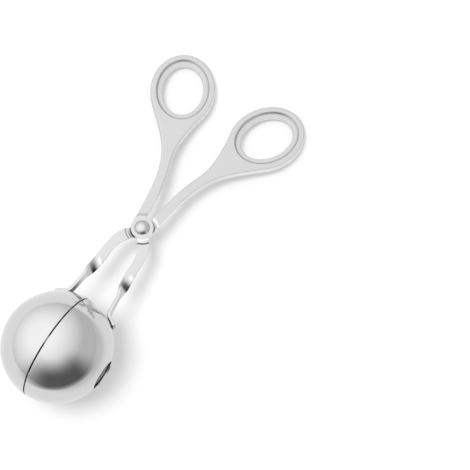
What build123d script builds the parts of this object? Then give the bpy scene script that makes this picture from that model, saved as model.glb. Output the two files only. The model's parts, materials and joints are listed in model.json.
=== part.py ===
from build123d import *
import os
from math import acos, asin, atan, atan2, cos, degrees, hypot, radians, sin, sqrt

# Meatball tongs: two arms of pressed steel sheet cross at a rivet, as scissors do.
# Each arm has a finger ring at one end and half of a ball mould at the other.
# Every piece is first made in the plane of the arms, with the rivet along Z,
# the finger rings towards +X and the ball towards -X. At the end the tongs are
# laid on the table, where they rest on the ball and on the ends of both rings.
os.makedirs("parts", exist_ok=True)

# Driving dimensions in millimetres and degrees

# Ball mould
ball_bore = 45.0
cup_wall = 0.7
rim_gap = 0.5
cup_edge_round = 0.15
vent_diameter = 13.0
pivot_to_ball = 62.4

# Sheet and strap
sheet = 1.5
drawn_wall = 1.2
strap_width = 4.4

# Riveted joint
hub_diameter = 10.0
hub_gap = 0.1
dish_inner_radius = 5.5
dish_outer_radius = 7.3
rivet_shank = 4.0
rivet_clearance = 0.05
rivet_hold = 0.01
rivet_head_diameter = 6.2
rivet_head_rise = 1.7
rivet_tail_diameter = 5.4
rivet_tail_rise = 0.9

# Leg, from the hub to the foot on the cup
leg_root_angle = 37.0
leg_root_width = 5.2
root_corner_round = 0.6
leg_splay = 7.0
twist_run = 10.4
twist_stations = 7
edge_run = 8.6
bend_inner_radius = 2.5
foot_meet_angle = 24.4
foot_end_angle = 38.0
foot_seat = 0.02

# Handle and finger ring
pivot_to_finger = 68.4
finger_offset = 22.8
finger_turn = 25.4
finger_length = 26.2
finger_width = 19.0
lip_width = 2.2
lip_drop = 1.0
lip_slope_run = 0.7
lip_bend_round = 0.4
ring_land = 2.6
handle_depth = 3.6
handle_round = 0.9
neck_width = 4.3
outer_join_angle = 117.0
inner_join_angle = 228.0
flare_steps = 12

# The neck's stations: run along pivot_to_finger, middle in finger_offset, and
# width in neck_width
neck_root_shares = (0.117, 0.16, 1.09)
neck_shares = ((0.284, 0.237, 1.06), (0.43, 0.351, 1.12), (0.576, 0.531, 1.66))

# One more point on each side of the flare, in pivot_to_finger and finger_offset
outer_flare_shares = (0.685, 0.985)
inner_flare_shares = (0.723, 0.393)

# Where the turned-down wall has its full depth, in pivot_to_finger
full_wall_share = 0.404

# The leg's bow between root and twist, in the place where the twist begins
leg_bow_shares = (0.582, 0.92)

# Sizes that follow
ball_radius = ball_bore / 2 + cup_wall
half_sheet = sheet / 2
hub_radius = hub_diameter / 2
hub_lift = (sheet + hub_gap) / 2
hub_top = sheet + hub_gap / 2
handle_top = half_sheet
handle_base = handle_top - handle_depth
lip_top = handle_top - lip_drop
lip_base = lip_top - drawn_wall
ring_width = lip_width + lip_slope_run + ring_land
ring_long_radius = finger_length / 2 + ring_width
ring_short_radius = finger_width / 2 + ring_width
finger_middle = Vector(pivot_to_finger, finger_offset)
blank_reach = pivot_to_finger + pivot_to_ball


# Handle

def ring_point(angle):
    """A point on the ring's outer edge and the way that the edge runs there."""
    turn = radians(angle)
    spot = Vector(ring_long_radius * cos(turn), ring_short_radius * sin(turn))
    way = Vector(-ring_long_radius * sin(turn), ring_short_radius * cos(turn))
    return finger_middle + spot.rotate(Axis.Z, finger_turn), way.rotate(Axis.Z, finger_turn)


def neck_edge(shares, side):
    """A point on the neck's edge: side is 1 for the outer edge, -1 for the inner."""
    run, middle, width = shares
    return Vector(pivot_to_finger * run, finger_offset * middle + side * neck_width * width / 2)


def flare_edge(shares, side, join_angle, inset):
    """One edge of the handle, from the hub along the neck to where it joins the ring."""
    points = [neck_edge(neck_root_shares, side)]
    points += [neck_edge(station, side) for station in neck_shares]
    join, way = ring_point(join_angle)
    start = points[1] - points[0]
    points.append(Vector(pivot_to_finger * shares[0], finger_offset * shares[1]))
    points.append(join)
    course = Spline(*points, tangents=(start, way * -side), mode=Mode.PRIVATE)
    steps = [step / flare_steps for step in range(flare_steps + 1)]
    inward = [(course % step).rotate(Axis.Z, -90 * side) * inset for step in steps]
    moved = [course @ step + shift for step, shift in zip(steps, inward)]
    return Spline(*moved, tangents=(course % 0, course % 1))


def finger_oval(inset):
    """An oval of the finger ring, drawn in from the ring's outer edge."""
    with BuildSketch() as oval:
        with Locations(finger_middle):
            Ellipse(
                ring_long_radius - inset,
                ring_short_radius - inset,
                rotation=finger_turn,
            )
    return oval.sketch


def handle_outline(inset):
    """The handle from above, drawn in all round: the neck flares into an oval ring."""
    with BuildSketch() as outline:
        with BuildLine():
            outer = flare_edge(outer_flare_shares, 1, outer_join_angle, inset)
            inner = flare_edge(inner_flare_shares, -1, inner_join_angle, inset)
            Line(outer @ 0, inner @ 0)
            Line(outer @ 1, inner @ 1)
        make_face()
        add(finger_oval(inset))
    return outline.sketch


def lip_dish(grow):
    """The dish round the finger hole, from the ring's land down to its lip."""
    with BuildPart() as dish:
        with BuildSketch(Plane.XY.offset(handle_top)):
            add(finger_oval(ring_land - grow))
        with BuildSketch(Plane.XY.offset(lip_top)):
            add(finger_oval(ring_land + lip_slope_run - grow))
        loft()
    return dish.part


def make_handle():
    """A pressed pan: flat top, walls turned down all round, hollow underneath."""
    root_x = neck_edge(neck_root_shares, 1).X
    full_x = pivot_to_finger * full_wall_share
    slope_wall = drawn_wall * hypot(lip_slope_run, lip_drop) / lip_drop
    with BuildPart() as hollow:
        with BuildSketch(Plane.XY.offset(handle_base)):
            add(handle_outline(drawn_wall))
        extrude(amount=handle_depth - sheet)
        add(lip_dish(slope_wall), mode=Mode.SUBTRACT)
        with BuildSketch(Plane.XY.offset(lip_base)):
            add(finger_oval(ring_land + lip_slope_run - slope_wall))
        extrude(amount=drawn_wall, mode=Mode.SUBTRACT)
    with BuildPart() as handle:
        with BuildSketch(Plane.XY.offset(handle_base)):
            add(handle_outline(0))
        extrude(amount=handle_depth)
        rim = handle.faces().sort_by(Axis.Z)[-1].edges()
        fillet(rim.sort_by(Axis.X)[1:], handle_round)
        with BuildSketch(Plane.XZ):
            with BuildLine():
                wall = Spline(
                    (root_x, -half_sheet),
                    (full_x, handle_base),
                    tangents=((1, 0), (1, 0)),
                )
                Polyline(
                    wall @ 1,
                    (blank_reach, handle_base),
                    (blank_reach, handle_top),
                    (root_x, handle_top),
                    wall @ 0,
                )
            make_face()
        extrude(amount=blank_reach, both=True, mode=Mode.INTERSECT)
        add(hollow.part, mode=Mode.SUBTRACT)
        add(lip_dish(0), mode=Mode.SUBTRACT)
        with BuildSketch(Plane.XY.offset(handle_base)):
            add(finger_oval(ring_width))
        extrude(amount=handle_depth, mode=Mode.SUBTRACT)
        ovals = handle.edges().filter_by(lambda edge: edge.is_closed)
        fillet(ovals.sort_by(Axis.Z)[-3:], lip_bend_round)
    return handle.part


# Leg, in the order from the ball back to the hub

# The straight run aims at the circle that the middle of the foot lies on
foot_radius = ball_radius + foot_seat + half_sheet
bend_radius = bend_inner_radius + half_sheet
ball_middle = Vector(-pivot_to_ball, 0)
leg_way = Vector(-1, 0).rotate(Axis.Z, leg_splay)
leg_side = Vector(0, -1).rotate(Axis.Z, leg_splay)
foot_meet = ball_middle + Vector(foot_radius, 0).rotate(Axis.Z, -foot_meet_angle)
twist_end = foot_meet - leg_way * edge_run
twist_begin = twist_end - leg_way * twist_run

# The bend touches both the straight run and the foot's circle
to_bend = foot_meet - ball_middle + leg_side * bend_radius
along = to_bend.dot(leg_way)
bend_back = along + sqrt(along**2 - to_bend.dot(to_bend) + (foot_radius + bend_radius) ** 2)
bend_middle = to_bend - leg_way * bend_back
bend_start = foot_meet - leg_way * bend_back
foot_begin_angle = degrees(atan2(-bend_middle.Y, bend_middle.X))
bend_turn = 90 - leg_splay - foot_begin_angle


def make_twist(sense):
    """A quarter turn of the strap; sense is the way it turns seen from the hub."""
    with BuildPart() as twist:
        for station in range(twist_stations):
            share = station / (twist_stations - 1)
            turn = sense * 90 * share * share * (3 - 2 * share)
            across = leg_side.rotate(Axis((0, 0, 0), leg_way), turn)
            spot = twist_begin + leg_way * twist_run * share
            with BuildSketch(Plane(origin=spot, x_dir=across, z_dir=leg_way)):
                Rectangle(strap_width, sheet)
        loft()
    return twist.part


def make_foot():
    """The strap on edge: straight, bent outwards, then curved to the ball."""
    with BuildPart() as foot:
        with BuildSketch(Plane.XY.offset(-strap_width / 2)):
            with BuildLine():
                run = Line(twist_end, bend_start)
                bend = JernArc(run @ 1, run % 1, bend_radius, bend_turn)
                JernArc(bend @ 1, bend % 1, foot_radius, foot_begin_angle - foot_end_angle)
            trace(line_width=sheet)
        extrude(amount=strap_width)
    return foot.part


def hub_outline(hole):
    """Hub, stub of the neck and flat leg from above, as cut from the sheet."""
    neck_outer = neck_edge(neck_root_shares, 1)
    neck_inner = neck_edge(neck_root_shares, -1)
    touch_angle = degrees(
        atan2(neck_outer.Y, neck_outer.X) + acos(hub_radius / neck_outer.length)
    )
    root_way = Vector(-1, 0).rotate(Axis.Z, leg_root_angle)
    root_side = Vector(0, -1).rotate(Axis.Z, leg_root_angle)
    root_half = root_side * leg_root_width / 2
    root = root_way * dish_outer_radius
    bow = Vector(twist_begin.X * leg_bow_shares[0], twist_begin.Y * leg_bow_shares[1])
    half_strap = leg_side * strap_width / 2
    with BuildSketch() as blank:
        Circle(hub_radius)
        with BuildLine():
            Polyline(
                neck_outer,
                Vector(hub_radius, 0).rotate(Axis.Z, touch_angle),
                (0, 0),
                (0, neck_inner.Y),
                neck_inner,
                close=True,
            )
        make_face()
        with BuildLine():
            outer = Spline(
                root + root_half,
                bow + half_strap,
                twist_begin + half_strap,
                tangents=(root_way, leg_way),
            )
            inner = Spline(
                root - root_half,
                bow - half_strap,
                twist_begin - half_strap,
                tangents=(root_way, leg_way),
            )
            Line(outer @ 1, inner @ 1)
            Polyline(outer @ 0, root_half, -root_half, inner @ 0)
        make_face()
        on_hub = blank.vertices().filter_by(
            lambda spot: abs(Vector(spot).length - hub_radius) < rivet_clearance
        )
        fillet(on_hub.sort_by(Axis.Y)[:-1], root_corner_round)
        Circle(hole, mode=Mode.SUBTRACT)
    return blank.sketch


def make_arm(lift, handle, foot):
    """One arm, its handle on the +Y side; lift is 1 for a raised hub, -1 for a sunk one."""
    if lift > 0:
        hole = rivet_shank / 2 + rivet_clearance
    else:
        hole = rivet_shank / 2 + rivet_hold
    with BuildPart() as arm:
        with BuildSketch(Plane.XY.offset(-hub_top)):
            add(hub_outline(hole))
        extrude(amount=2 * hub_top)
        with BuildSketch(Plane.XZ):
            with BuildLine():
                Polyline(
                    (0, lift * hub_lift - half_sheet),
                    (dish_inner_radius, lift * hub_lift - half_sheet),
                    (dish_outer_radius, -half_sheet),
                    (blank_reach, -half_sheet),
                    (blank_reach, half_sheet),
                    (dish_outer_radius, half_sheet),
                    (dish_inner_radius, lift * hub_lift + half_sheet),
                    (0, lift * hub_lift + half_sheet),
                    close=True,
                )
            make_face()
        revolve(axis=Axis.Z, mode=Mode.INTERSECT)
        add(make_twist(-lift))
        add(foot)
        add(handle)
    return arm.part


# Mould cups

def make_cup(side):
    """Half of the ball mould, open at its pole; side is 1 towards +Y, -1 towards -Y."""
    with BuildSketch() as section:
        Circle(ball_radius)
        Circle(ball_bore / 2, mode=Mode.SUBTRACT)
        with Locations((vent_diameter / 2, rim_gap / 2)):
            Rectangle(ball_radius, ball_radius, align=Align.MIN, mode=Mode.INTERSECT)
        fillet(section.vertices(), cup_edge_round)
    with BuildPart() as cup:
        with BuildSketch(Plane(ball_middle, x_dir=(1, 0, 0), z_dir=(0, 0, side))):
            add(section.sketch)
        revolve(axis=Axis(ball_middle, (0, 1, 0)))
    return cup.part


# Rivet

def make_rivet():
    """Domed head, shank and peened tail, turned about Z."""
    shank_radius = rivet_shank / 2
    head_radius = rivet_head_diameter / 2
    tail_radius = rivet_tail_diameter / 2
    head_seat = hub_top + rivet_clearance
    with BuildPart() as rivet:
        with BuildSketch(Plane.XZ):
            with BuildLine():
                head = ThreePointArc(
                    (-head_radius, head_seat),
                    (0, head_seat + rivet_head_rise),
                    (head_radius, head_seat),
                )
                Polyline(
                    head @ 1,
                    (shank_radius, head_seat),
                    (shank_radius, -hub_top),
                    (tail_radius, -hub_top),
                )
                tail = ThreePointArc(
                    (tail_radius, -hub_top),
                    (0, -hub_top - rivet_tail_rise),
                    (-tail_radius, -hub_top),
                )
                Polyline(
                    tail @ 1,
                    (-shank_radius, -hub_top),
                    (-shank_radius, head_seat),
                    head @ 0,
                )
            make_face()
            split(bisect_by=Plane.YZ)
        revolve(axis=Axis.Z)
    return rivet.part


# Lay the tongs on the table: the ball and the far ends of the rings touch it

ring_end = pivot_to_finger + hypot(
    ring_long_radius * cos(radians(finger_turn)),
    ring_short_radius * sin(radians(finger_turn)),
)
reach = ring_end + pivot_to_ball
slope = asin(ball_radius / hypot(reach, handle_base)) - atan(-handle_base / reach)
pivot_height = ball_radius - pivot_to_ball * sin(slope)
round_middle = Vector(ring_end - handle_round, handle_top - handle_round)
far_x = round_middle.X * cos(slope) + round_middle.Y * sin(slope) + handle_round
near_x = -pivot_to_ball * cos(slope) - ball_radius
resting = Location((-(far_x + near_x) / 2, 0, pivot_height), (0, degrees(slope), 0))

handle = make_handle()
foot = make_foot()

with BuildPart() as over_arm:
    with Locations(resting):
        add(make_arm(1, handle, foot))
over_arm.part.label = "over_arm"
export_step(over_arm.part, "parts/over_arm.step")

with BuildPart() as under_arm:
    with Locations(resting):
        add(mirror(make_arm(-1, handle, foot), about=Plane.XZ, mode=Mode.PRIVATE))
under_arm.part.label = "under_arm"
export_step(under_arm.part, "parts/under_arm.step")

with BuildPart() as left_cup:
    with Locations(resting):
        add(make_cup(1))
left_cup.part.label = "left_cup"
export_step(left_cup.part, "parts/left_cup.step")

with BuildPart() as right_cup:
    with Locations(resting):
        add(make_cup(-1))
right_cup.part.label = "right_cup"
export_step(right_cup.part, "parts/right_cup.step")

with BuildPart() as pivot_rivet:
    with Locations(resting):
        add(make_rivet())
pivot_rivet.part.label = "pivot_rivet"
export_step(pivot_rivet.part, "parts/pivot_rivet.step")

print("slope of the arms on the table", round(degrees(slope), 3))
print("rivet at", [round(value, 3) for value in resting.position])
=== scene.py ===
# %% [markdown]
# # Meatball tongs
#
# Two pressed steel arms, two half-round cups and a rivet. This lesson dresses them for
# a picture: finer meshes, steel finishes, a table, light and a camera.

# %% Load the frame
import json
from math import acos, asin, atan2, cos, degrees, hypot, pi, radians, sin, sqrt

import bmesh
import bpy
import numpy as np
from mathutils import Matrix, Quaternion, Vector
from mathutils.geometry import delaunay_2d_cdt


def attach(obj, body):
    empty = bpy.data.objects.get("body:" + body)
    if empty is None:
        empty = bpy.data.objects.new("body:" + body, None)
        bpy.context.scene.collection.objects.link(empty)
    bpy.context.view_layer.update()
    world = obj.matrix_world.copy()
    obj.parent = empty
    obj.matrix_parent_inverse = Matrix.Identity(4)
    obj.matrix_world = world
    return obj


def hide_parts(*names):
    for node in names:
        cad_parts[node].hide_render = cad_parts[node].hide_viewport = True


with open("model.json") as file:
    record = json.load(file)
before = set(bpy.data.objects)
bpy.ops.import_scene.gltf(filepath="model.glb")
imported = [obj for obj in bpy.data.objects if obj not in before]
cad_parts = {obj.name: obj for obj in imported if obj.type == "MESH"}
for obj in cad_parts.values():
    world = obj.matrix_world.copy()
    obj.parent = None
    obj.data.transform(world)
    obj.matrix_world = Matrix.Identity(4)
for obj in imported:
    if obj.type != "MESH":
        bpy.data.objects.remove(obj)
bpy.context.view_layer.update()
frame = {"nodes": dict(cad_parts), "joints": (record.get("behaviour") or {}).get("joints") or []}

print("pieces in the drawing:", sorted(frame["nodes"]))

# %% [markdown]
# ## From the bench to the table
#
# The tongs lie at a slope, on the ball and on the tips of the finger rings. It is
# easier to shape the pieces as their maker did, flat on the bench: rivet along Z,
# rings towards +X, ball towards -X, in millimetres. One matrix, read from the hinge,
# then lays every piece down in its place.

# %% Bench matrix
MILLIMETRE = 0.001
hinge = frame["joints"][0]
rivet_way = Vector(hinge["axis"])
bench = Matrix.Identity(4)
bench.col[0][:3] = (rivet_way.z, 0, -rivet_way.x)
bench.col[1][:3] = (0, 1, 0)
bench.col[2][:3] = rivet_way
bench.col[3][:3] = hinge["pos_m"]
lay_down = bench @ Matrix.Scale(MILLIMETRE, 4)
print("slope of the arms:", round(degrees(asin(rivet_way.x)), 2), "degrees")

# %% [markdown]
# ## The camera
#
# The picture is taken from above and a little from the side of the ball, with a long
# lens. The camera's place and turn are given on the bench too, so that they stay right
# however the tongs lie. A small function puts each new object into the scene.

# %% Camera
def new_object(name, data):
    """An object of the scene, still at the origin."""
    thing = bpy.data.objects.new(name, data)
    bpy.context.scene.collection.objects.link(thing)
    return thing


PICTURE_SIDE = 470
FOCUS_IN_PIXELS = 933.5
SENSOR = 36.0
CAMERA_SPOT = (-123.45, -89.93, 378.35)
CAMERA_RIGHT = (0.520, -0.851, 0.074)
CAMERA_DOWN = (-0.779, -0.508, -0.368)

camera = new_object("camera", bpy.data.cameras.new("camera"))
right = Vector(CAMERA_RIGHT).normalized()
backward = right.cross(-Vector(CAMERA_DOWN)).normalized()
view = Matrix.Identity(3)
for column, way in enumerate((right, backward.cross(right), backward)):
    view.col[column] = way
camera.matrix_world = (bench.to_3x3() @ view).to_4x4()
camera.location = lay_down @ Vector(CAMERA_SPOT)
camera.data.sensor_width = SENSOR
camera.data.lens = FOCUS_IN_PIXELS / PICTURE_SIDE * SENSOR
bpy.context.scene.camera = camera
print("camera at", [round(value, 3) for value in camera.location], "m")

# %% [markdown]
# ## Colours and nodes
#
# Colours are written as a painter reads them, in sRGB hex, and one function turns them
# into the linear values that Blender reckons with. A second small function adds a node
# to a tree, sets it and links it, which keeps every material short.

# %% Helpers for materials
def colour(hex_code):
    """An sRGB hex colour as linear red, green, blue and alpha."""
    shares = [int(hex_code[place:place + 2], 16) / 255 for place in (1, 3, 5)]
    linear = [s / 12.92 if s <= 0.04045 else ((s + 0.055) / 1.055) ** 2.4 for s in shares]
    return (*linear, 1)


def add_node(tree, kind, links=(), inputs=(), **settings):
    """A new node, with its settings, its input values and its links from other sockets."""
    node = tree.nodes.new(kind)
    for name, value in settings.items():
        setattr(node, name, value)
    for name, value in dict(inputs).items():
        node.inputs[name].default_value = value
    for name, socket in dict(links).items():
        tree.links.new(socket, node.inputs[name])
    return node


print("linear value of a mid grey:", [round(v, 3) for v in colour("#808080")])

# %% [markdown]
# ## Polished steel
#
# Cups and rivet are 18/8 stainless steel, buffed bright after pressing. It mirrors the
# studio almost sharply: the buffing wheel leaves hair-fine marks, so the gloss changes
# a little from place to place. The real marks are a few hundredths of a millimetre
# wide. They are drawn ten times as coarse, so that they show.

# %% Steel with the marks of its polish
MARKS_IN_A_CLOUD = 40


def steel(name, base, roughness, spread, mark_size, mark_height):
    """A steel surface: two base colours, gloss with its spread, marks in millimetres."""
    material = bpy.data.materials.new(name)
    material.use_nodes = True
    tree = material.node_tree
    shader = tree.nodes["Principled BSDF"]
    shader.inputs["Metallic"].default_value = 1
    place = add_node(tree, "ShaderNodeTexCoord").outputs["Object"]
    marks = add_node(
        tree, "ShaderNodeTexNoise", {"Vector": place},
        {"Scale": 1 / (mark_size * MILLIMETRE), "Detail": 3.0, "Roughness": 0.6},
    )
    clouds = add_node(
        tree, "ShaderNodeTexNoise", {"Vector": place},
        {"Scale": 1 / (MARKS_IN_A_CLOUD * mark_size * MILLIMETRE), "Detail": 2.0},
    )
    ends = {"To Min": roughness - spread, "To Max": roughness + spread}
    gloss = add_node(
        tree, "ShaderNodeMapRange", {"Value": clouds.outputs["Fac"]},
        {"From Min": 0.3, "From Max": 0.7, **ends},
    )
    tone = add_node(
        tree, "ShaderNodeMix", {"Factor": clouds.outputs["Fac"]},
        {6: colour(base[0]), 7: colour(base[1])}, data_type="RGBA",
    )
    bump = add_node(
        tree, "ShaderNodeBump", {"Height": marks.outputs["Fac"]},
        {"Strength": 1.0, "Distance": mark_height * MILLIMETRE},
    )
    tree.links.new(gloss.outputs["Result"], shader.inputs["Roughness"])
    tree.links.new(tone.outputs[2], shader.inputs["Base Color"])
    tree.links.new(bump.outputs["Normal"], shader.inputs["Normal"])
    return material


polished = steel(
    "stainless_steel_polished", ("#CDCDCD", "#D3D3D3"),
    roughness=0.08, spread=0.03, mark_size=0.3, mark_height=0.0008,
)
print("polished steel made:", polished.name)

# %% [markdown]
# ## Tumbled steel
#
# The arms are the same steel, tumbled with fine stones to a satin skin, which feels
# soft to the finger and hides prints. It mirrors nothing sharply and shows one even
# pale grey. Hub and legs are buffed afterwards, which the next cells lay over it.

# %% Tumbled steel
tumbled = steel(
    "stainless_steel_tumbled_and_buffed", ("#C6C6C6", "#CDCDCD"),
    roughness=0.42, spread=0.03, mark_size=0.2, mark_height=0.002,
)
print("tumbled steel made:", tumbled.name)

# %% [markdown]
# ## Shares and layers
#
# Each finish of an arm covers only a part of it and ends softly. A ramp turns a length
# into a share between 0 and 1, shares are multiplied to narrow them, and a blend lays
# one colour over another by such a share. The tree is found from the socket given.

# %% Helpers for shares and layers
def ramp(value, start, end, low=0.0, high=1.0):
    """A smooth change from low to high; value is in metres, start and end in millimetres."""
    ends = {"From Min": start * MILLIMETRE, "From Max": end * MILLIMETRE}
    return add_node(
        value.id_data, "ShaderNodeMapRange", {"Value": value},
        {**ends, "To Min": low, "To Max": high}, interpolation_type="SMOOTHSTEP",
    ).outputs["Result"]


def product(total, *factors):
    """All the factors multiplied."""
    for factor in factors:
        total = add_node(
            total.id_data, "ShaderNodeMath", {0: total, 1: factor}, operation="MULTIPLY",
        ).outputs[0]
    return total


def band(value, rise, fall, most=1.0):
    """A share that climbs over one range of millimetres and falls over a later one."""
    return product(ramp(value, *rise, 0.0, most), ramp(value, *fall, 1.0, 0.0))


def blend(share, base, over):
    """One colour laid over another; a colour is a hex code or a socket."""
    mix = add_node(share.id_data, "ShaderNodeMix", {"Factor": share}, data_type="RGBA")
    for place, tint in ((6, base), (7, over)):
        if isinstance(tint, str):
            mix.inputs[place].default_value = colour(tint)
        else:
            mix.id_data.links.new(tint, mix.inputs[place])
    return mix.outputs[2]


def lay_over(share, tint):
    """A tint laid over the colour that the share's own material has so far."""
    tree = share.id_data
    skin = tree.nodes["Principled BSDF"].inputs["Base Color"]
    tree.links.new(blend(share, skin.links[0].from_socket, tint), skin)


print("ramps are given in units of", MILLIMETRE, "m")

# %% [markdown]
# ## Where a point of the arm lies
#
# The painted highlights and painted shade, and the edge of the buffing, lie at fixed
# distances from the rivet. So a few nodes reckon how far a point is from the rivet's axis,
# how far along the tongs and how far across. They start from Object coordinates, which
# move with the arm.

# %% Places on an arm
MIDDLE_SOFT = 0.3

arm = tumbled.node_tree
on_arm = arm.nodes["Texture Coordinate"].outputs
from_rivet = add_node(
    arm, "ShaderNodeVectorMath", {0: on_arm["Object"]}, {1: hinge["pos_m"]}, operation="SUBTRACT",
).outputs[0]
aside = add_node(
    arm, "ShaderNodeVectorMath", {0: from_rivet}, {1: rivet_way}, operation="CROSS_PRODUCT",
).outputs[0]
reach = add_node(arm, "ShaderNodeVectorMath", {0: aside}, operation="LENGTH").outputs["Value"]
lengthwise = add_node(
    arm, "ShaderNodeVectorMath", {0: from_rivet}, {1: bench.col[0].xyz}, operation="DOT_PRODUCT",
).outputs["Value"]
crosswise = add_node(arm, "ShaderNodeSeparateXYZ", {0: from_rivet}).outputs["Y"]
on_neck, on_leg = ramp(lengthwise, 0.0, 0.5), ramp(lengthwise, -1.0, -0.5, 1.0, 0.0)


def by_side(right, left):
    """One value on the right half of the tongs and another on the left half."""
    return ramp(crosswise, -MIDDLE_SOFT, MIDDLE_SOFT, right, left)


print("places reckoned:", len(arm.nodes), "nodes")

# %% [markdown]
# ## Buffed hub and legs, with painted highlight and shade
#
# From the hub to the ball the arm is buffed bright, up to the crease where the neck
# leaves the hub. A paler band round the hub is a painted highlight on the dish's slopes,
# whiter on the left half, and a dark thread of painted shade lies in the crease where
# the dish meets the leg. The left neck stays tumbled right up to its hub.

# %% Buffed part of the arms
# The two pale colours are painted highlights on the dish's slopes, and the dark one is painted
# shade.
BUFFED, DISH_HIGHLIGHT, PAINTED_HIGHLIGHT, PAINTED_SHADE = "#C9C9C9", "#E3E3E3", "#F7F7F7", "#262626"
DISH_BAND = (5.3, 5.7), (7.0, 7.3)
CREASE_BAND = (6.8, 7.05), (7.5, 7.75)
LEFT_NECK_EDGE, RIGHT_NECK_EDGE = (5.3, 5.6), (7.2, 7.5)

bright = blend(
    band(reach, *DISH_BAND), BUFFED, blend(by_side(0.0, 1.0), DISH_HIGHLIGHT, PAINTED_HIGHLIGHT),
)
# Painted shade in the crease at the foot of the dish, darker on the right half.
crease = product(on_leg, by_side(0.85, 0.5), band(reach, *CREASE_BAND))
bright = blend(crease, bright, PAINTED_SHADE)
left_neck = product(on_neck, by_side(0.0, 1.0), ramp(reach, *LEFT_NECK_EDGE))
right_neck = product(on_neck, ramp(reach, *RIGHT_NECK_EDGE))
unbuffed = add_node(
    arm, "ShaderNodeMath", {0: left_neck, 1: right_neck}, operation="MAXIMUM",
).outputs[0]
print("necks are tumbled from", LEFT_NECK_EDGE[0], "and", RIGHT_NECK_EDGE[0], "mm out")

# %% [markdown]
# ## Painted reflection and highlight at the twist
#
# Each leg is turned a quarter. Across the twist a dark patch is painted as a reflection,
# and just before it a pale patch is a painted highlight. Both lie aslant across the strap,
# so they follow the reach less half the way off the strap's middle. Then the whole buffed
# part, with its gloss, is laid over the tumbled steel.

# %% Painted reflection and highlight at the twist
# The dark patch across the twist is a painted dark reflection, and the pale patch before it a
# painted highlight.
TWIST_DARK_REFLECTION = "#5C5C5C"
TWIST_ASIDE, TWIST_SLANT = 7.9, -0.5
BUFFED_ROUGHNESS = 0.24
DARK_REFLECTION_BAND = (24.0, 26.8), (27.6, 29.0)
HIGHLIGHT_BAND = (21.6, 22.8), (23.0, 24.0)

middle = by_side(-TWIST_ASIDE * MILLIMETRE, TWIST_ASIDE * MILLIMETRE)
off_middle = add_node(
    arm, "ShaderNodeMath", {0: middle, 1: crosswise}, operation="SUBTRACT",
).outputs[0]
slant = add_node(
    arm, "ShaderNodeMath", {0: off_middle, 2: reach}, {1: TWIST_SLANT}, operation="MULTIPLY_ADD",
).outputs[0]
painted_dark_reflection = product(
    on_leg, band(slant, *DARK_REFLECTION_BAND), ramp(off_middle, -1.8, 0.8, 0.25, 1.0),
)
painted_glint = product(on_leg, band(slant, *HIGHLIGHT_BAND, most=0.8), ramp(off_middle, -1.0, 1.0))
bright = blend(painted_glint, blend(painted_dark_reflection, bright, TWIST_DARK_REFLECTION), PAINTED_HIGHLIGHT)

surface = arm.nodes["Principled BSDF"].inputs
tone, gloss = (surface[name].links[0].from_socket for name in ("Base Color", "Roughness"))
roughness = add_node(
    arm, "ShaderNodeMix", {"Factor": unbuffed, "B": gloss}, {"A": BUFFED_ROUGHNESS},
).outputs[0]
arm.links.new(blend(unbuffed, bright, tone), surface["Base Color"])
arm.links.new(roughness, surface["Roughness"])
print("buffed:", len(arm.nodes), "nodes")

# %% [markdown]
# ## Painted shade between the legs
#
# The feet are spot-welded to the cups. Painted shade darkens the faces that the two legs
# turn to each other, from just above the feet down, and the ball mirrors it as thin dark
# lines.

# %% Painted shade between the legs
LEG_SHADE_START, LEG_SHADE_FULL = 33.0, 40.0
sideways = add_node(arm, "ShaderNodeSeparateXYZ", {0: on_arm["Normal"]}).outputs["Y"]
inner_face = add_node(
    arm, "ShaderNodeMapRange", {"Value": product(sideways, by_side(-1.0, 1.0))},
    {"From Min": -0.3, "From Max": -0.7},
).outputs["Result"]
# Painted shade on the faces that the legs turn to each other.
lay_over(product(on_leg, ramp(reach, LEG_SHADE_START, LEG_SHADE_FULL), inner_face), PAINTED_SHADE)
print("tint starts", LEG_SHADE_START, "mm from the rivet")

# %% [markdown]
# ## The step in the finger rings
#
# Inside each ring the sheet steps down to a lip. The painted highlight on the edges leaves
# the step out. An oval midway between step and outer wall tells them apart: a Mapping
# node makes it a circle of radius 1.

# %% Ring sizes and the share off the step
PIVOT_TO_FINGER, FINGER_OFFSET, FINGER_TURN = 68.4, 22.8, 25.4
FINGER_LENGTH, FINGER_WIDTH, RING_WIDTH = 26.2, 19.0, 5.5
RING_LONG = FINGER_LENGTH / 2 + RING_WIDTH
RING_SHORT = FINGER_WIDTH / 2 + RING_WIDTH
OVAL_INSET = 1.3
IN_THE_STEP = 0.1

folded = add_node(arm, "ShaderNodeMath", {0: crosswise}, operation="ABSOLUTE").outputs[0]
plan = add_node(arm, "ShaderNodeCombineXYZ", {"X": lengthwise, "Y": folded}).outputs[0]
half_axes = [(half - OVAL_INSET) * MILLIMETRE for half in (RING_LONG, RING_SHORT)]
oval = add_node(
    arm, "ShaderNodeMapping", {"Vector": plan},
    {
        "Location": Vector((PIVOT_TO_FINGER, FINGER_OFFSET, 0)) * MILLIMETRE,
        "Rotation": (0, 0, radians(FINGER_TURN)), "Scale": (*half_axes, 1),
    },
    vector_type="TEXTURE",
).outputs[0]
out = add_node(arm, "ShaderNodeVectorMath", {0: oval}, operation="LENGTH").outputs["Value"]
walls, lip = (
    add_node(arm, "ShaderNodeMapRange", {"Value": out}, limits).outputs["Result"]
    for limits in (
        {"From Min": 0.96, "From Max": 1.04, "To Min": IN_THE_STEP},
        {"From Min": 0.84, "From Max": 0.78},
    )
)
off_step = add_node(arm, "ShaderNodeMath", {0: walls, 1: lip}, operation="MAXIMUM").outputs[0]
print("ring outside:", round(2 * RING_LONG, 1), "by", round(2 * RING_SHORT, 1), "mm")

# %% [markdown]
# ## Painted highlights on the edges
#
# The sheet's edges get a painted highlight, nearly white, on the sides that face one way:
# one side all along the arm, and the lips. On the handles the line lies on the bend, and
# the wall below it gets less. Past the twist the edges get none. The share follows the
# skin's own direction, so a narrow rounded edge gets a narrow line.

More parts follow.
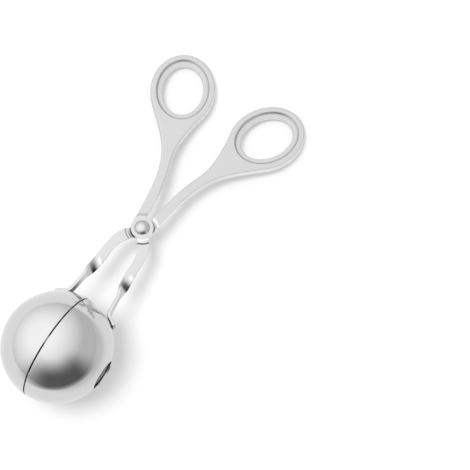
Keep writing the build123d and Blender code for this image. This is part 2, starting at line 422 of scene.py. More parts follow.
# %% Painted edge highlights
# The edges facing these two ways get a painted highlight.
HIGHLIGHT_SIDE, LIP_HIGHLIGHT_SIDE = (-0.18, -0.95, 0), (-0.83, -0.55, 0)
HANDLE_EDGE, TWIST_EDGE = (14.0, 24.0), (20.0, 24.0)

on_handle = ramp(reach, *HANDLE_EDGE)
before_twist = add_node(
    arm, "ShaderNodeMapRange", {"Value": product(on_leg, ramp(reach, *TWIST_EDGE))},
    {"To Min": 1.0, "To Max": 0.0},
).outputs["Result"]


def paint_edge_highlight(way, start, end, most=0.9):
    """Painted highlight on the edges where the arm's skin faces a way; start and end are cosines.
    """
    faced = add_node(
        arm, "ShaderNodeVectorMath", {0: on_arm["Normal"]}, {1: way}, operation="DOT_PRODUCT",
    ).outputs["Value"]
    share, bend = (
        add_node(arm, "ShaderNodeMapRange", {"Value": faced}, limits).outputs["Result"]
        for limits in (
            {"From Min": start, "From Max": end, "To Max": most},
            {"From Min": 0.75, "From Max": 0.95, "To Min": 0.8, "To Max": 0.35},
        )
    )
    edge_highlight_share = add_node(
        arm, "ShaderNodeMix", {"Factor": on_handle, "B": product(bend, off_step)}, {"A": 1.0},
    ).outputs[0]
    lay_over(product(share, before_twist, edge_highlight_share), PAINTED_HIGHLIGHT)


print("edges are dull from", TWIST_EDGE[1], "mm out")

# %% [markdown]
# ## Painted shade in the corners
#
# Painted shade darkens every narrow corner: in the rings' steps, round the hub and where
# the feet meet the cups. An Ambient Occlusion node finds the corners, because little of
# the sky is open there. The painted highlights and the painted shade are laid in turn, so
# that the lip's painted highlight lies over the painted shade of the step.

# %% Painted shade in the corners
def paint_corner_shade(material, width, open_share, *within, full=0.5):
    """Dark where less than open_share of the sky within a width is open, black at full."""
    corner = add_node(
        material.node_tree, "ShaderNodeAmbientOcclusion",
        inputs={"Distance": width * MILLIMETRE}, samples=8,
    ).outputs["AO"]
    corner_shade = add_node(
        material.node_tree, "ShaderNodeMapRange", {"Value": corner},
        {"From Min": full, "From Max": open_share, "To Min": 1.0, "To Max": 0.0},
    ).outputs["Result"]
    lay_over(product(corner_shade, *within), PAINTED_SHADE)


# Painted highlights and painted shade on the arms, in turn, then painted shade on the cups.
RIVET_CORNER = (5.2, 5.5)
paint_edge_highlight(HIGHLIGHT_SIDE, 0.2, 0.6)
paint_corner_shade(tumbled, 1.0, 0.92, full=0.64)
paint_edge_highlight(LIP_HIGHLIGHT_SIDE, 0.3, 0.55, most=0.5)
paint_corner_shade(tumbled, 1.4, 0.9, ramp(reach, *RIVET_CORNER, 1.0, 0.0))
paint_corner_shade(polished, 1.6, 0.9)
print("arm steel:", len(arm.nodes), "nodes")

# %% [markdown]
# ## Sheet-metal sections
#
# A pressed edge is never sharp. A section is written as corners, each with how far its
# rounding reaches along both sides, and one function rounds them all. Every section
# gets the same count of points, so that two sections can be blended into each other.

# %% Rounded sections
ROUND_STEPS = 5


def rounded(corners):
    """Points of an open section. Corners are (inward, height, reach); the ends stay sharp."""
    spots = [Vector(corner[:2]) for corner in corners]
    points = [spots[0]]
    for before, (spot, corner), after in zip(spots, list(zip(spots, corners))[1:-1], spots[2:]):
        start = spot + (before - spot).normalized() * corner[2]
        end = spot + (after - spot).normalized() * corner[2]
        for step in range(ROUND_STEPS + 1):
            t = step / ROUND_STEPS
            points.append(start * (1 - t) ** 2 + spot * 2 * t * (1 - t) + end * t * t)
    return np.array([tuple(point) for point in points + [spots[-1]]])


SHEET = 1.5
DRAWN_WALL = 1.2
HANDLE_DEPTH = 3.6
TOP = SHEET / 2
BASE = TOP - HANDLE_DEPTH
pan_section = rounded([
    (1.2, TOP, 0), (0, TOP, 0.95), (0, BASE, 0.3), (DRAWN_WALL, BASE, 0.3),
    (DRAWN_WALL, -TOP, 0.5), (1.95, -TOP, 0),
])
plate_section = rounded([
    (0.45, TOP, 0), (0, TOP, 0.3), (0, -TOP, 0.3), (0.4, -TOP, 0.05),
    (0.5, -TOP, 0.04), (0.6, -TOP, 0),
])
print("points in a section:", len(pan_section), len(plate_section))

# %% [markdown]
# ## The outline of an arm
#
# An arm is one flat blank before it is pressed: a ring, a neck that narrows to the hub,
# and a straight strap for the leg. The neck's edges are smooth curves through a few
# stations. The outline is walked once round, with the metal always on the left.

# %% Curves in the plane
HUB_RADIUS = 5.0
FINE = 0.35


def turned(point, angle):
    """A plane point turned about the rivet, in degrees."""
    c, s = cos(radians(angle)), sin(radians(angle))
    return np.array((point[0] * c - point[1] * s, point[0] * s + point[1] * c))


def smooth_curve(stations, first_way, last_way, step):
    """Points on a clamped cubic spline through the stations."""
    stations = np.array(stations, float)
    gaps = np.hypot(*np.diff(stations, axis=0).T)
    count = len(stations)
    system, wanted = np.zeros((count, count)), np.zeros((count, 2))
    system[0, 0] = system[-1, -1] = 1
    wanted[0], wanted[-1] = first_way / np.hypot(*first_way), last_way / np.hypot(*last_way)
    slopes = np.diff(stations, axis=0) / gaps[:, None]
    for k in range(1, count - 1):
        system[k, k - 1:k + 2] = gaps[k], 2 * (gaps[k - 1] + gaps[k]), gaps[k - 1]
        wanted[k] = 3 * (gaps[k] * slopes[k - 1] + gaps[k - 1] * slopes[k])
    ways = np.linalg.solve(system, wanted)
    points = []
    for k in range(count - 1):
        for t in np.arange(0, 1, 1 / max(1, round(gaps[k] / step))):
            points.append(
                stations[k] * (1 + 2 * t) * (1 - t) ** 2 + stations[k + 1] * t * t * (3 - 2 * t)
                + gaps[k] * (ways[k] * t * (1 - t) ** 2 + ways[k + 1] * t * t * (t - 1))
            )
    return np.array(points + [stations[-1]])


def on_hub(start, end):
    """Points of the hub's round edge, angles in degrees."""
    count = max(2, round(HUB_RADIUS * abs(radians(end - start)) / FINE))
    return np.array([turned((HUB_RADIUS, 0), a) for a in np.linspace(start, end, count + 1)])


print("points on a quarter of the hub:", len(on_hub(0, 90)))

# %% [markdown]
# ## Ring and neck
#
# The finger ring is an oval that lies aslant beside the arm's line. The neck flares
# into it on both sides. Its stations are shares of the way to the finger: how far
# along, how far aside, and how wide against the neck's own width.

# %% Ring and neck
NECK_WIDTH = 4.3
NECK_STEP = 0.6
NECK_SHARES = (
    (0.117, 0.16, 1.09), (0.284, 0.237, 1.06), (0.43, 0.351, 1.12), (0.576, 0.531, 1.66),
)
OUTER_FLARE, INNER_FLARE = (0.685, 0.985), (0.723, 0.393)
OUTER_JOIN, INNER_JOIN = 117, 228


def ring_spot(angle, inset=0):
    """A point of the ring's oval, drawn in by inset, at an angle of the oval itself."""
    spot = ((RING_LONG - inset) * cos(radians(angle)), (RING_SHORT - inset) * sin(radians(angle)))
    return turned(spot, FINGER_TURN) + (PIVOT_TO_FINGER, FINGER_OFFSET)


def neck_side(side, flare, join):
    """One edge of the neck, from the hub to where it joins the ring."""
    stations = [
        (PIVOT_TO_FINGER * run, FINGER_OFFSET * middle + side * NECK_WIDTH * width / 2)
        for run, middle, width in NECK_SHARES
    ]
    stations += [(PIVOT_TO_FINGER * flare[0], FINGER_OFFSET * flare[1]), ring_spot(join)]
    into_ring = ring_spot(join - side * 0.1) - ring_spot(join + side * 0.1)
    return smooth_curve(stations, np.subtract(stations[1], stations[0]), into_ring, NECK_STEP)


outer_neck = neck_side(1, OUTER_FLARE, OUTER_JOIN)
inner_neck = neck_side(-1, INNER_FLARE, INNER_JOIN)
print("neck edges:", len(outer_neck), "and", len(inner_neck), "points")

# %% [markdown]
# ## The leg
#
# The leg leaves the hub at a slant, bows over to the strap's way, and runs straight to
# its twist. Past the twist it stands on edge, bends outwards and follows the ball. Its
# strap is drawn straight, because it is twisted and bent only after it is cut, so each
# stretch's length is worked out from where the foot must lie.

# %% Sizes of the leg
BALL_BORE = 45.0
CUP_WALL = 0.7
PIVOT_TO_BALL = 62.4
STRAP_WIDTH = 4.4
LEG_ROOT_ANGLE, LEG_ROOT_WIDTH = 37.0, 5.2
DISH_INNER, DISH_OUTER, DISH_LIFT = 5.5, 7.3, 0.8
LEG_SPLAY = 7.0
TWIST_RUN, EDGE_RUN = 10.4, 8.6
BEND_RADIUS = 2.5 + SHEET / 2
FOOT_MEET, FOOT_END = 24.4, 38.0
FOOT_SEAT = 0.02
LEG_BOW = (0.582, 0.92)

ball_radius = BALL_BORE / 2 + CUP_WALL
foot_radius = ball_radius + FOOT_SEAT + SHEET / 2
ball_middle = np.array((-PIVOT_TO_BALL, 0))
leg_way, leg_side = turned((-1, 0), LEG_SPLAY), turned((0, -1), LEG_SPLAY)
foot_meet = ball_middle + turned((foot_radius, 0), -FOOT_MEET)
twist_begin = foot_meet - leg_way * (EDGE_RUN + TWIST_RUN)
to_bend = foot_meet - ball_middle + leg_side * BEND_RADIUS
along = to_bend @ leg_way
bend_back = along + sqrt(along ** 2 - to_bend @ to_bend + (foot_radius + BEND_RADIUS) ** 2)
bend_middle = to_bend - leg_way * bend_back
bend_turn = 90 - LEG_SPLAY + degrees(atan2(bend_middle[1], bend_middle[0]))
foot_turn = FOOT_END - 90 + LEG_SPLAY + bend_turn
edge_straight = EDGE_RUN - bend_back
bend_run = BEND_RADIUS * radians(bend_turn)
strap_run = TWIST_RUN + edge_straight + bend_run + foot_radius * radians(foot_turn)
print("strap from the twist to its end:", round(strap_run, 2), "mm")

# %% [markdown]
# ## Walking the outline
#
# The outline is put together from paths end to end. Where two of them meet in a corner,
# both are cut back and a small curve takes the corner's place, as a filed corner does.

# %% Paths end to end
CLEAR = 0.05


def trimmed(points, front, rear):
    """A path with a length cut off at each end."""
    run = np.concatenate(([0], np.cumsum(np.hypot(*np.diff(points, axis=0).T))))
    last = run[-1] - rear
    stops = [front] + [r for r in run if front + CLEAR < r < last - CLEAR] + [last]
    return np.column_stack([np.interp(stops, run, points[:, axis]) for axis in (0, 1)])


def walked(paths, reaches):
    """One closed outline of paths end to end; each corner is rounded over its reach."""
    pieces = []
    for k, path in enumerate(paths):
        following = paths[(k + 1) % len(paths)]
        cut = trimmed(path, reaches[k - 1], reaches[k])
        pieces.append(cut[:-1])
        corner, leave = path[-1], trimmed(following, reaches[k], 0)[0]
        for t in (np.arange(0, ROUND_STEPS) / ROUND_STEPS if reaches[k] else ()):
            pieces.append([cut[-1] * (1 - t) ** 2 + corner * 2 * t * (1 - t) + leave * t * t])
    return np.concatenate(pieces)


def straight(start, end):
    """Points of a straight run."""
    count = max(1, round(np.hypot(*np.subtract(end, start)) / FINE))
    return np.linspace(start, end, count + 1)


print("points along the strap:", len(straight((0, 0), (strap_run, 0))))

# %% [markdown]
# ## The blank
#
# Hub, neck, ring and leg come together in one closed outline. It starts on the hub
# below the leg's outer edge and goes round the right-hand way.

# %% Outline of the blank
RING_POINTS = 140
ROOT_ROUND, STRAP_END_ROUND = 0.6, 1.2
root_way, root_side = turned((-1, 0), LEG_ROOT_ANGLE), turned((0, -1), LEG_ROOT_ANGLE)
root_back = sqrt(HUB_RADIUS ** 2 - LEG_ROOT_WIDTH ** 2 / 4)


def leg_edge(side):
    """One edge of the leg's blank, from the hub to the end of the strap."""
    half_root = root_side * side * LEG_ROOT_WIDTH / 2
    half_strap = leg_side * side * STRAP_WIDTH / 2
    stations = [
        root_way * DISH_OUTER + half_root, twist_begin * LEG_BOW + half_strap,
        twist_begin + half_strap,
    ]
    stub = straight(root_way * root_back + half_root, stations[0])
    bowed = smooth_curve(stations, root_way, leg_way, FINE)
    strap = straight(stations[-1], stations[-1] + leg_way * strap_run)
    return np.concatenate((stub[:-1], bowed[:-1], strap))


def compass(point):
    """The bearing of a plane point from the rivet, in degrees."""
    return degrees(atan2(point[1], point[0])) % 360


leg_outer, leg_inner = leg_edge(1), leg_edge(-1)
neck_corner = degrees(asin(inner_neck[0][1] / HUB_RADIUS))
touch = compass(outer_neck[0]) + degrees(acos(HUB_RADIUS / np.hypot(*outer_neck[0])))
outline = walked(
    [
        on_hub(compass(leg_outer[0]), 360 + neck_corner),
        straight(turned((HUB_RADIUS, 0), neck_corner), inner_neck[0]),
        inner_neck,
        np.array([ring_spot(a) for a in np.linspace(INNER_JOIN - 360, OUTER_JOIN, RING_POINTS)]),
        outer_neck[::-1],
        straight(outer_neck[0], turned((HUB_RADIUS, 0), touch)),
        on_hub(touch, compass(leg_inner[0])),
        leg_inner,
        straight(leg_inner[-1], leg_outer[-1]),
        leg_outer[::-1],
    ],
    [ROOT_ROUND, 0, 0, 0, 0, 0, ROOT_ROUND, STRAP_END_ROUND, STRAP_END_ROUND, ROOT_ROUND],
)
print("outline of an arm:", len(outline), "points")

# %% [markdown]
# ## Pressing
#
# The press does three things to the flat blank. At the hub it dishes the sheet by half
# its thickness, up in one arm and down in the other, so that the hubs lie on each other
# while handles and legs stay level. In the leg it turns the strap a quarter on its own
# axis. Last it bends the strap's end outwards, onto the ball.

# %% From the blank to the pressed arm
def smooth_step(value, start, end):
    """0 before start, 1 after end, and a soft ramp between."""
    share = np.clip((value - start) / (end - start), 0, 1)
    return share * share * (3 - 2 * share)


def on_strap(run, sense):
    """The strap's middle line, its way across and its face, at a run past the twist's start."""
    turn = sense * 90 * smooth_step(run, 0, TWIST_RUN)
    twist = Quaternion((*leg_way, 0), radians(turn))
    across, face = twist @ Vector((*leg_side, 0)), twist @ Vector((0, 0, 1))
    spot = Vector((*(twist_begin + leg_way * min(run, TWIST_RUN + edge_straight)), 0))
    for past, limit, radius, way, middle in (
        (run - TWIST_RUN - edge_straight, bend_run, BEND_RADIUS, 1, ball_middle + bend_middle),
        (run - TWIST_RUN - edge_straight - bend_run, strap_run, foot_radius, -1, ball_middle),
    ):
        if past > 0:
            swing = Quaternion((0, 0, 1), way * min(past, limit) / radius)
            centre = Vector((*middle, 0))
            spot, face = centre + swing @ (spot - centre), swing @ face
    return spot, across, face


def pressed(point, height, lift):
    """The pressed place of a blank's point; lift is 1 for a raised hub, -1 for a sunk one."""
    run = (point - twist_begin) @ leg_way
    if run > 0:
        spot, across, face = on_strap(run, -lift)
        return spot + across * ((point - twist_begin) @ leg_side) + face * height
    raised = 1 - smooth_step(np.hypot(*point), DISH_INNER, DISH_OUTER)
    return Vector((*point, height + lift * DISH_LIFT * raised))


tip = on_strap(strap_run, -1)[0]
tip_radius = hypot(tip.x + PIVOT_TO_BALL, tip.y)
print("end of the foot is", round(tip_radius, 2), "mm from the ball's middle")

# %% [markdown]
# ## The arm's skin
#
# The skin is made of loops. Round the outline run two dozen of them, one for each point
# of the section: a plain rounded edge at the leg and hub, which grows into the deep
# turned-down wall of the handle. More loops step down into the finger ring and through
# the rivet's hole. Top and underside between the loops are filled with triangles.

# %% Loops and fills
RING_LAND, LIP_RUN, LIP_DROP = 2.6, 0.7, 1.0
lip_section = rounded([
    (2.1, TOP, 0), (RING_LAND, TOP, 0.25), (RING_LAND + LIP_RUN, TOP - LIP_DROP, 0.2),
    (RING_WIDTH, TOP - LIP_DROP, 0.4), (RING_WIDTH, TOP - LIP_DROP - DRAWN_WALL, 0.05),
    (2.75, TOP - LIP_DROP - DRAWN_WALL, 0.1), (2.4, -TOP, 0.1), (2.15, -TOP, 0),
])
HOLE_RADIUS = 2.05
hole_section = rounded([(0.4, TOP, 0), (0, TOP, 0.12), (0, -TOP, 0.12), (0.4, -TOP, 0)])
APART = 0.28


class Skin:
    """Points of the blank with their heights, and the faces between them."""

    def __init__(self):
        self.places, self.heights, self.faces = [], [], []

    def loop(self, places, heights):
        """Adds a row of points and returns their numbers."""
        first = len(self.places)
        self.places += list(places)
        self.heights += list(np.broadcast_to(heights, len(places)))
        return list(range(first, first + len(places)))

    def belts(self, rows):
        """Adds the faces between closed rows of as many points."""
        for upper, lower in zip(rows, rows[1:]):
            for k in range(len(upper)):
                self.faces.append((upper[k - 1], lower[k - 1], lower[k], upper[k]))

    def fill(self, loops, extra, height, facing):
        """Adds triangles between an outline and the holes in it, with extra points inside."""
        ids = [i for loop in loops for i in loop]
        edges, first = [], 0
        for loop in loops:
            edges += [(first + k, first + (k + 1) % len(loop)) for k in range(len(loop))]
            first += len(loop)
        edge_spots = np.array([self.places[i] for i in ids])
        extra = [spot for spot in extra if np.min(np.hypot(*(edge_spots - spot).T)) > APART]
        flat = [Vector(spot) for spot in [*edge_spots, *extra]]
        _, _, triangles, origins, _, _ = delaunay_2d_cdt(flat, edges, [], 1, 1e-7)
        ids += self.loop(extra, height)
        holes = [set(loop) for loop in loops[1:]]
        for triangle in triangles:
            face = [ids[origins[corner][0]] for corner in triangle][::facing]
            if not any(hole.issuperset(face) for hole in holes):
                self.faces.append(tuple(face))


def inward_ways(points):
    """The way into the metal at each point of a closed outline that has it on the left."""
    runs = np.roll(points, -1, axis=0) - points
    sides = np.column_stack((-runs[:, 1], runs[:, 0])) / np.hypot(*runs.T)[:, None]
    mean = sides + np.roll(sides, 1, axis=0)
    return mean / np.maximum(np.sum(mean * mean, axis=1, keepdims=True) / 2, 1e-9)


print("points in a lip's section:", len(lip_section), "and in a hole's:", len(hole_section))

# %% [markdown]
# ## One skin for both arms
#
# The fill needs its own points where the sheet is pressed out of its plane: rings of
# them round the dish, and rows along the twist. Elsewhere long flat triangles do.

# %% Skin of the blank
WALL_START, WALL_FULL = 8.0, 27.63
LIP_POINTS, HOLE_POINTS = 160, 48
DISH_RINGS = (3.0, 3.7, 4.4, 5.1, 5.6, 5.9, 6.2, 6.5, 6.8, 7.1, 7.4, 8.0)
DISH_SPACING, DISH_TWIST = 6, 7
STRAP_ROWS, STRAP_SPACING = (-1.2, -0.6, 0, 0.6, 1.2), 0.45


def arm_skin():
    """The skin of the blank: loops round the outline, the finger hole and the rivet's hole."""
    skin = Skin()
    inward = inward_ways(outline)
    depth = smooth_step(outline[:, 0], WALL_START, WALL_FULL)[:, None]
    loops = []
    for plate, pan in zip(plate_section, pan_section):
        section = plate * (1 - depth) + pan * depth
        loops.append(skin.loop(outline + inward * section[:, :1], section[:, 1]))
    skin.belts(loops)
    angles = np.linspace(0, 360, LIP_POINTS, endpoint=False)
    rings = [
        skin.loop([ring_spot(a, inset) for a in angles], height) for inset, height in lip_section
    ]
    skin.belts(rings[::-1])
    angles = np.linspace(0, 360, HOLE_POINTS, endpoint=False)
    holes = [
        skin.loop([turned((HOLE_RADIUS + out, 0), a) for a in angles], height)
        for out, height in hole_section
    ]
    skin.belts(holes[::-1])
    near_hub = [
        turned((radius, 0), a + radius * DISH_TWIST)
        for radius in DISH_RINGS for a in np.arange(0, 360, DISH_SPACING)
    ]
    in_strap = [
        twist_begin + leg_way * run + leg_side * across
        for run in np.arange(-1.2, strap_run, STRAP_SPACING) for across in STRAP_ROWS
    ]
    skin.fill([loops[0], rings[0], holes[0]], near_hub + in_strap, TOP, 1)
    skin.fill([loops[-1], rings[-1], holes[-1]], near_hub + in_strap, -TOP, -1)
    return skin


blank = arm_skin()
print("skin of an arm:", len(blank.places), "points,", len(blank.faces), "faces")

# %% [markdown]
# ## Two arms
#
# One blank gives both arms. The one with the sunk hub is its own mirror image in plan,
# so its faces are turned round, or they would point inwards. Fill points that no
# triangle took are cleared away.

# %% Two arms from one blank
def make_arm(name, lift, body):
    """A pressed arm; lift is 1 for the raised hub, -1 for the sunk one."""
    shaped = [
        pressed(np.asarray(place), height, lift)
        for place, height in zip(blank.places, blank.heights)
    ]
    mesh = bpy.data.meshes.new(name)
    mesh.from_pydata(
        [lay_down @ Vector((spot.x, spot.y * lift, spot.z)) for spot in shaped], [],
        [face[::lift] for face in blank.faces],
    )
    shape = bmesh.new()
    shape.from_mesh(mesh)
    loose = [spot for spot in shape.verts if not spot.link_faces]
    bmesh.ops.delete(shape, geom=loose, context="VERTS")
    shape.to_mesh(mesh)
    shape.free()
    mesh.shade_smooth()
    mesh.materials.append(tumbled)
    piece = new_object(name, mesh)
    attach(piece, body)
    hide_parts(name)
    return piece


over_arm = make_arm("over_arm", 1, "over_half")
under_arm = make_arm("under_arm", -1, "under_half")
print("arms made:", over_arm.name, under_arm.name)

# %% [markdown]
# ## The ball mould
#
# Each cup is a shell of a sphere, from just off the seam to the round opening at its
# pole. Its shape follows a rule, so Geometry Nodes make it: a flat grid whose one side
# becomes the way from rim to pole and whose other side becomes the way round. Solidify
# then gives the drawn sheet its thickness, and Bevel breaks the two cut edges.

# %% Geometry Nodes for a cup
def cup_tree():
    """A node tree for the outer skin of a cup, with its sizes as named inputs."""
    tree = bpy.data.node_groups.new("cup_skin", "GeometryNodeTree")
    sockets = tree.interface
    sockets.new_socket("Geometry", in_out="OUTPUT", socket_type="NodeSocketGeometry")
    for kind, label, value in (
        ("Float", "Radius", 23.2), ("Float", "Rim Height", 0.15), ("Float", "Vent Radius", 6.5),
        ("Int", "Steps to Pole", 72), ("Int", "Steps Round", 256),
    ):
        size = sockets.new_socket(label, in_out="INPUT", socket_type="NodeSocket" + kind)
        size.default_value = value
    sockets.new_socket("Steel", in_out="INPUT", socket_type="NodeSocketMaterial")
    given = tree.nodes.new("NodeGroupInput").outputs
    grid = add_node(
        tree, "GeometryNodeMeshGrid",
        {"Vertices X": given["Steps to Pole"], "Vertices Y": given["Steps Round"]},
        {"Size X": 1.0, "Size Y": 1.0},
    )
    on_grid = add_node(tree, "GeometryNodeInputPosition").outputs[0]
    place = add_node(tree, "ShaderNodeSeparateXYZ", {0: on_grid})
    ends = {}
    for end, label, angle_of in (
        ("To Min", "Rim Height", "ARCSINE"), ("To Max", "Vent Radius", "ARCCOSINE"),
    ):
        share = add_node(
            tree, "ShaderNodeMath", {0: given[label], 1: given["Radius"]}, operation="DIVIDE",
        ).outputs[0]
        ends[end] = add_node(tree, "ShaderNodeMath", {0: share}, operation=angle_of).outputs[0]
    climb = add_node(
        tree, "ShaderNodeMapRange", {"Value": place.outputs["X"], **ends},
        {"From Min": -0.5, "From Max": 0.5},
    )
    sweep = add_node(
        tree, "ShaderNodeMapRange", {"Value": place.outputs["Y"]},
        {"From Min": -0.5, "From Max": 0.5, "To Min": 2 * pi, "To Max": 0.0},
    )
    spoke = add_node(tree, "ShaderNodeCombineXYZ", {"X": given["Radius"]})
    raised = add_node(
        tree, "ShaderNodeVectorRotate", {"Vector": spoke.outputs[0], "Angle": climb.outputs[0]},
        {"Axis": (0, 0, 1)}, rotation_type="AXIS_ANGLE",
    )
    swept = add_node(
        tree, "ShaderNodeVectorRotate", {"Vector": raised.outputs[0], "Angle": sweep.outputs[0]},
        {"Axis": (0, 1, 0)}, rotation_type="AXIS_ANGLE",
    )
    skin = grid.outputs["Mesh"]
    for kind, links, inputs in (
        ("GeometryNodeSetPosition", {"Position": swept.outputs[0]}, {}),
        ("GeometryNodeMergeByDistance", {}, {"Distance": 0.001}),
        ("GeometryNodeSetShadeSmooth", {}, {}),
        ("GeometryNodeRealizeInstances", {}, {}),
        ("GeometryNodeSetMaterial", {"Material": given["Steel"]}, {}),
    ):
        skin = add_node(tree, kind, {"Geometry": skin, **links}, inputs).outputs[0]
    add_node(tree, "NodeGroupOutput", {"Geometry": skin})
    return tree


skin_of_cup = cup_tree()
print("cup tree:", len(skin_of_cup.nodes), "nodes")

# %% [markdown]
# ## Two cups
#
# Both cups come from the same tree. The right one is turned half round, not mirrored,
# so that its skin still faces outwards. The modifiers are applied before a cup is given
# to its arm, which leaves a plain mesh at the origin.

# %% Two cups
RIM_GAP, VENT_DIAMETER, CUP_EDGE = 0.5, 13.0, 0.15
SHARP = 50


def make_cup(name, side, body):
    """Half of the mould on its arm; side is 1 towards +Y, -1 towards -Y."""
    draft = new_object("cup_draft", bpy.data.meshes.new("cup_draft"))
    nodes = draft.modifiers.new("skin", "NODES")
    nodes.node_group = skin_of_cup
    sizes = {
        "Radius": ball_radius, "Rim Height": RIM_GAP / 2, "Vent Radius": VENT_DIAMETER / 2,
        "Steel": polished,
    }
    for item in skin_of_cup.interface.items_tree:
        if item.name in sizes:
            nodes[item.identifier] = sizes[item.name]
    wall = draft.modifiers.new("wall", "SOLIDIFY")
    wall.thickness, wall.offset, wall.use_even_offset = CUP_WALL, -1, True
    edge = draft.modifiers.new("edge", "BEVEL")
    edge.width, edge.segments = CUP_EDGE, 3
    edge.limit_method, edge.angle_limit = "ANGLE", radians(SHARP)
    shaped = draft.evaluated_get(bpy.context.evaluated_depsgraph_get())
    mesh = bpy.data.meshes.new_from_object(shaped)
    bpy.data.objects.remove(draft)
    mesh.name = name
    turn = Matrix.Rotation(0 if side > 0 else pi, 4, "X")
    mesh.transform(lay_down @ Matrix.Translation((*ball_middle, 0)) @ turn)
    piece = new_object(name, mesh)
    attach(piece, body)
    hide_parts(name)
    return piece


for name, side, body in (("left_cup", 1, "under_half"), ("right_cup", -1, "over_half")):
    cup = make_cup(name, side, body)
    print(name, len(cup.data.polygons), "faces")

# %% [markdown]
# ## The rivet
#
# A turned piece: the domed head is closed on the upper hub, the shank fills the holes,
# and the tail is hammered to a lower dome under the arms. Its half section is spun
# round the Z axis.

# %% Rivet
HUB_GAP, RIVET_CLEARANCE = 0.1, 0.05
HUB_TOP = SHEET + HUB_GAP / 2
HEAD_SEAT = HUB_TOP + RIVET_CLEARANCE
HEAD_RADIUS, HEAD_RISE = 3.1, 1.7
TAIL_RADIUS, TAIL_RISE = 2.7, 0.9
SHANK_RADIUS = 2.0
DOME_POINTS, SPIN_STEPS = 15, 96


def dome(radius, seat, rise):
    """Points of a dome's section, from its edge to its top; rise below zero hangs down."""
    sphere = (radius ** 2 + rise ** 2) / (2 * abs(rise))
    sign = 1 if rise > 0 else -1
    start = asin(min(1, radius / sphere))
    angles = np.linspace(start, 0, DOME_POINTS)
    return [(sphere * sin(a), seat + rise - sign * sphere * (1 - cos(a))) for a in angles]


def make_rivet():
    """Head, shank and tail, spun from one half section."""
    head = dome(HEAD_RADIUS, HEAD_SEAT, HEAD_RISE)
    tail = dome(TAIL_RADIUS, -HUB_TOP, -TAIL_RISE)
    shank = [(SHANK_RADIUS, -HUB_TOP), (SHANK_RADIUS, HEAD_SEAT)]
    section = tail[::-1] + shank + head
    shape = bmesh.new()
    spots = [shape.verts.new((radius, 0, height)) for radius, height in section]
    edges = [shape.edges.new(pair) for pair in zip(spots, spots[1:])]
    bmesh.ops.spin(
        shape, geom=spots + edges, cent=(0, 0, 0), axis=(0, 0, 1), angle=2 * pi,
        steps=SPIN_STEPS, use_merge=True,
    )
    bmesh.ops.remove_doubles(shape, verts=shape.verts, dist=0.001)
    bmesh.ops.recalc_face_normals(shape, faces=shape.faces)
    shape.transform(lay_down)
    mesh = bpy.data.meshes.new("pivot_rivet")
    shape.to_mesh(mesh)
    shape.free()
    mesh.shade_smooth()
    mesh.set_sharp_from_angle(angle=radians(SHARP))
    mesh.materials.append(polished)
    piece = new_object("pivot_rivet", mesh)
    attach(piece, "under_half")
    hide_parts("pivot_rivet")
    return piece


rivet = make_rivet()
print("rivet:", len(rivet.data.polygons), "faces")

# %% [markdown]
# ## The studio
#
# Polished steel shows its room, so the room is part of its look. Here it is a pale
# room under one big soft source, high up at the left: the light is strongest there and
# falls off evenly to half that level, low at the right. The camera sees plain white.

# %% World
SOURCE_WAY = Vector((-0.02, 0.45, 0.89)).normalized()
DIM, BRIGHT, WHITE = 0.69, 1.38, 1.0
scene = bpy.context.scene
scene.view_settings.view_transform = "Standard"
world = bpy.data.worlds.new("studio")
scene.world = world
world.use_nodes = True
room = world.node_tree
way = add_node(room, "ShaderNodeTexCoord").outputs["Generated"]
towards = add_node(room, "ShaderNodeVectorMath", {0: way}, {1: SOURCE_WAY}, operation="DOT_PRODUCT")
level = add_node(
    room, "ShaderNodeMapRange", {"Value": towards.outputs["Value"]},
    {"From Min": 0.13, "From Max": 0.91, "To Min": DIM, "To Max": BRIGHT},
)
seen = add_node(room, "ShaderNodeLightPath").outputs["Is Camera Ray"]
strength = add_node(room, "ShaderNodeMix", {"Factor": seen, "A": level.outputs[0]}, {"B": WHITE})
room.links.new(strength.outputs[0], room.nodes["Background"].inputs["Strength"])
room.nodes["Background"].inputs["Color"].default_value = colour("#FFFFFF")
print("source at", round(degrees(asin(SOURCE_WAY.z))), "degrees above the table")

# %% [markdown]
# ## The lamp
#
# A large square lamp, high up and a little to the left, gives the soft shadow at the
# right. It is hidden from mirrors, because the room already holds the bright source
# that the steel shows.

# %% Lamp
LAMP_REACH, LAMP_TILT, LAMP_SIZE, LAMP_POWER = 3.0, 11, 1.1, 122.0
SHADE_FROM = (-0.5, 0.87)
lamp = new_object("soft_lamp", bpy.data.lights.new("soft_lamp", "AREA"))
lean, rise = sin(radians(LAMP_TILT)), cos(radians(LAMP_TILT))
lamp_spot = LAMP_REACH * Vector((lean * SHADE_FROM[0], lean * SHADE_FROM[1], rise))
to_table = (-lamp_spot).to_track_quat("-Z", "Y").to_matrix().to_4x4()
lamp.matrix_world = Matrix.Translation(lamp_spot) @ to_table
lamp.data.size, lamp.data.energy = LAMP_SIZE, LAMP_POWER
lamp.visible_glossy = False
print("lamp at", [round(value, 2) for value in lamp_spot], "m")

# %% [markdown]
# ## The table
#
# The table is a white sheet of paper. A glow lifts it to white for the camera, more so
# far off, where the lamp reaches it less, and the shadow stays. Mirrors see a weaker
# glow, which dies down at the right, so that the ball's lower right edge turns soft.

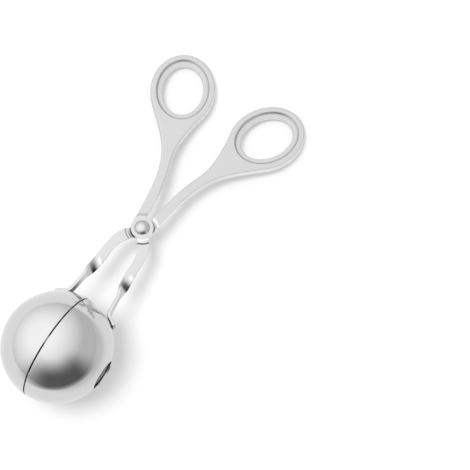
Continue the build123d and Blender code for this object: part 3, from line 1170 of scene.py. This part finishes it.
# %% Table top
TABLE_HALF = 3
GLOW_IN_MIRRORS, GLOW_AT_RIGHT, GLOW_NEAR = 0.38, 0.12, 0.4
paper = bpy.data.materials.new("white_paper")
paper.use_nodes = True
sheet = paper.node_tree
matt = sheet.nodes["Principled BSDF"]
matt.inputs["Base Color"].default_value = colour("#8E8E8E")
matt.inputs["Roughness"].default_value = 0.9
matt.inputs["Emission Color"].default_value = colour("#FFFFFF")
seen = add_node(sheet, "ShaderNodeLightPath").outputs["Is Camera Ray"]
on_table = add_node(sheet, "ShaderNodeTexCoord").outputs["Object"]
far = add_node(sheet, "ShaderNodeVectorMath", {0: on_table}, operation="LENGTH").outputs["Value"]
leftwards = add_node(sheet, "ShaderNodeSeparateXYZ", {0: on_table}).outputs["Y"]
mirrored_glow = add_node(
    sheet, "ShaderNodeMapRange", {"Value": leftwards},
    {"From Min": -0.04, "From Max": -0.12, "To Min": GLOW_IN_MIRRORS, "To Max": GLOW_AT_RIGHT},
    interpolation_type="SMOOTHSTEP",
)
whitened = add_node(
    sheet, "ShaderNodeMapRange", {"Value": far},
    {"From Min": 0.3, "From Max": 2.0, "To Min": GLOW_NEAR, "To Max": WHITE},
)
glow = add_node(
    sheet, "ShaderNodeMix",
    {"Factor": seen, "A": mirrored_glow.outputs[0], "B": whitened.outputs[0]},
)
sheet.links.new(glow.outputs[0], matt.inputs["Emission Strength"])

floor_mesh = bpy.data.meshes.new("table_top")
corners = [(x * TABLE_HALF, y * TABLE_HALF, 0) for x, y in ((-1, -1), (1, -1), (1, 1), (-1, 1))]
floor_mesh.from_pydata(corners, [], [(0, 1, 2, 3)])
floor_mesh.materials.append(paper)
floor = new_object("table_top", floor_mesh)
print("table top:", floor_mesh.vertices[2].co.x * 2, "m square")

# %% [markdown]
# ## Black card
#
# To give polished metal its dark streak, a black card stands before it, just out of
# the picture. This one is a screen of felt, bent round the ball's near side. It shows
# only in mirrors, and fades out at its ends, its foot and its top, so that the streak
# has soft edges.

# %% Screen of black felt
CARD_PROFILE = (
    (0.13, 0.001), (0.155, 0.006), (0.185, 0.03), (0.215, 0.07), (0.24, 0.12),
    (0.26, 0.18), (0.27, 0.25), (0.27, 0.33), (0.26, 0.42), (0.24, 0.5),
)
CARD_STEPS = 48
CARD_START, CARD_END = -215, -70
FELT = "#666666"

felt = bpy.data.materials.new("black_felt")
felt.use_nodes = True
nap = felt.node_tree
nap.nodes.remove(nap.nodes["Principled BSDF"])
on_card = add_node(nap, "ShaderNodeTexCoord").outputs["UV"]
span = add_node(nap, "ShaderNodeSeparateXYZ", {0: on_card}).outputs
cover = product(*(
    add_node(
        nap, "ShaderNodeMapRange", {"Value": span[label]},
        {"From Min": start, "From Max": end}, interpolation_type="SMOOTHSTEP",
    ).outputs[0]
    for label, start, end in (("Y", 1.0, 0.4), ("Y", 0.0, 0.22), ("X", 0.0, 0.4), ("X", 1.0, 0.72))
))
dark = add_node(nap, "ShaderNodeEmission", (), {"Color": colour(FELT), "Strength": 1.0})
clear = add_node(nap, "ShaderNodeBsdfTransparent")
mixed = add_node(nap, "ShaderNodeMixShader", {0: cover, 1: clear.outputs[0], 2: dark.outputs[0]})
nap.links.new(mixed.outputs[0], nap.nodes["Material Output"].inputs["Surface"])

ball_spot = lay_down @ Vector((*ball_middle, 0))
rows = len(CARD_PROFILE)
card_mesh = bpy.data.meshes.new("black_card")
card_mesh.from_pydata(
    [
        (ball_spot.x + out * cos(a), ball_spot.y + out * sin(a), height)
        for a in np.radians(np.linspace(CARD_START, CARD_END, CARD_STEPS + 1))
        for out, height in CARD_PROFILE
    ],
    [],
    [
        (k * rows + r, (k + 1) * rows + r, (k + 1) * rows + r + 1, k * rows + r + 1)
        for k in range(CARD_STEPS) for r in range(rows - 1)
    ],
)
card_mesh.materials.append(felt)
for corner, loop in zip(card_mesh.uv_layers.new(name="card").data, card_mesh.loops):
    corner.uv = (loop.vertex_index // rows / CARD_STEPS, loop.vertex_index % rows / (rows - 1))
card = new_object("black_card", card_mesh)
for ray in ("camera", "diffuse", "shadow", "transmission"):
    setattr(card, "visible_" + ray, False)
print("black card:", len(card_mesh.polygons), "faces")
